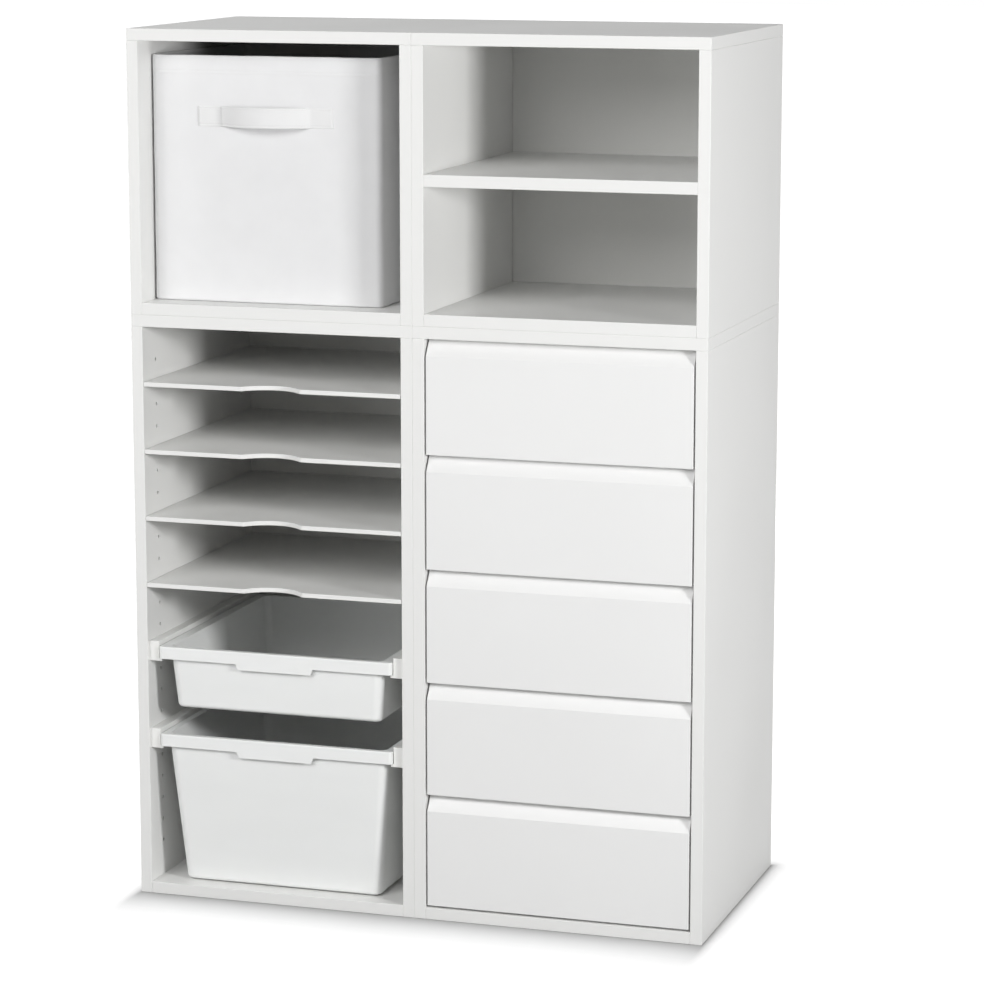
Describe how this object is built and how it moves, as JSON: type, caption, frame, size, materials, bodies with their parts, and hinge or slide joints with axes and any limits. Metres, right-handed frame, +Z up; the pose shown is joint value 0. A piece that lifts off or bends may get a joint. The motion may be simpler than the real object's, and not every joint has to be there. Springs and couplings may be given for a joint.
{
  "type": "modular craft storage cabinet",
  "caption": "White modular craft cabinet: cubes on tall cases, with inset drawers, thin paper shelves, hanging plastic bins and a soft fabric bin.",
  "frame": {"origin": "centre of the footprint, on the surface the cabinet stands on", "axes": "+Z up, +Y from the open front to the rear, +X to the right seen from the front"},
  "size_m": [0.788, 0.387, 1.169],
  "materials": {
    "case_board": "white melamine facing on particle board, satin",
    "back_board": "white melamine facing on thin board, satin",
    "drawer_front_board": "white melamine facing, satin",
    "drawer_box_board": "white foil on board",
    "drawer_bottom_board": "white painted hardboard",
    "paper_shelf_board": "white painted thin fibreboard, satin",
    "runner_wood": "plain planed beech",
    "dowel_beech": "plain turned beech",
    "rail_plastic": "white moulded plastic",
    "bin_plastic": "white moulded polypropylene, fine satin",
    "pin_steel": "nickel plated",
    "screw_steel": "zinc plated",
    "bin_fabric": "white non-woven fabric",
    "strap_fabric": "white woven strap",
    "base_cardboard": "plain grey-brown board"
  },
  "bodies": {
    "cabinet": {"upper_left_top": "case_board", "upper_left_bottom": "case_board", "upper_left_left_side": "case_board", "upper_left_right_side": "case_board", "upper_left_back": "back_board", "upper_right_top": "case_board", "upper_right_bottom": "case_board", "upper_right_left_side": "case_board", "upper_right_right_side": "case_board", "upper_right_back": "back_board", "lower_left_top": "case_board", "lower_left_bottom": "case_board", "lower_left_left_side": "case_board", "lower_left_right_side": "case_board", "lower_left_back": "back_board", "lower_right_top": "case_board", "lower_right_bottom": "case_board", "lower_right_left_side": "case_board", "lower_right_right_side": "case_board", "lower_right_back": "back_board", "upper_right_shelf": "case_board", "paper_shelf_1": "paper_shelf_board", "paper_shelf_2": "paper_shelf_board", "paper_shelf_3": "paper_shelf_board", "paper_shelf_4": "paper_shelf_board", "bin_rails": "rail_plastic", "drawer_runners": "runner_wood", "shelf_pins": "pin_steel", "strip_screws": "screw_steel", "case_dowels": "dowel_beech"},
    "drawer_1": {"drawer_1_front": "drawer_front_board", "drawer_1_left_side": "drawer_box_board", "drawer_1_right_side": "drawer_box_board", "drawer_1_back": "drawer_box_board", "drawer_1_bottom": "drawer_bottom_board"},
    "drawer_2": {"drawer_2_front": "drawer_front_board", "drawer_2_left_side": "drawer_box_board", "drawer_2_right_side": "drawer_box_board", "drawer_2_back": "drawer_box_board", "drawer_2_bottom": "drawer_bottom_board"},
    "drawer_3": {"drawer_3_front": "drawer_front_board", "drawer_3_left_side": "drawer_box_board", "drawer_3_right_side": "drawer_box_board", "drawer_3_back": "drawer_box_board", "drawer_3_bottom": "drawer_bottom_board"},
    "drawer_4": {"drawer_4_front": "drawer_front_board", "drawer_4_left_side": "drawer_box_board", "drawer_4_right_side": "drawer_box_board", "drawer_4_back": "drawer_box_board", "drawer_4_bottom": "drawer_bottom_board"},
    "drawer_5": {"drawer_5_front": "drawer_front_board", "drawer_5_left_side": "drawer_box_board", "drawer_5_right_side": "drawer_box_board", "drawer_5_back": "drawer_box_board", "drawer_5_bottom": "drawer_bottom_board"},
    "shallow_tub": {"shallow_bin": "bin_plastic"},
    "deep_tub": {"deep_bin": "bin_plastic"},
    "fabric_bin": {"fabric_bin_body": "bin_fabric", "fabric_bin_base_board": "base_cardboard", "fabric_bin_handle": "strap_fabric"}
  },
  "joints": [
    {"name": "drawer_1_slide", "type": "slide", "parent": "cabinet", "child": "drawer_1", "axis": [0, -1, 0], "range_m": [0, 0.26]},
    {"name": "drawer_2_slide", "type": "slide", "parent": "cabinet", "child": "drawer_2", "axis": [0, -1, 0], "range_m": [0, 0.26]},
    {"name": "drawer_3_slide", "type": "slide", "parent": "cabinet", "child": "drawer_3", "axis": [0, -1, 0], "range_m": [0, 0.26]},
    {"name": "drawer_4_slide", "type": "slide", "parent": "cabinet", "child": "drawer_4", "axis": [0, -1, 0], "range_m": [0, 0.26]},
    {"name": "drawer_5_slide", "type": "slide", "parent": "cabinet", "child": "drawer_5", "axis": [0, -1, 0], "range_m": [0, 0.26]},
    {"name": "shallow_bin_slide", "type": "slide", "parent": "cabinet", "child": "shallow_tub", "axis": [0, -1, 0], "range_m": [0, 0.28]},
    {"name": "deep_bin_slide", "type": "slide", "parent": "cabinet", "child": "deep_tub", "axis": [0, -1, 0], "range_m": [0, 0.28]},
    {"name": "fabric_bin_slide", "type": "slide", "parent": "cabinet", "child": "fabric_bin", "axis": [0, -1, 0], "range_m": [0, 0.3]}
  ]
}
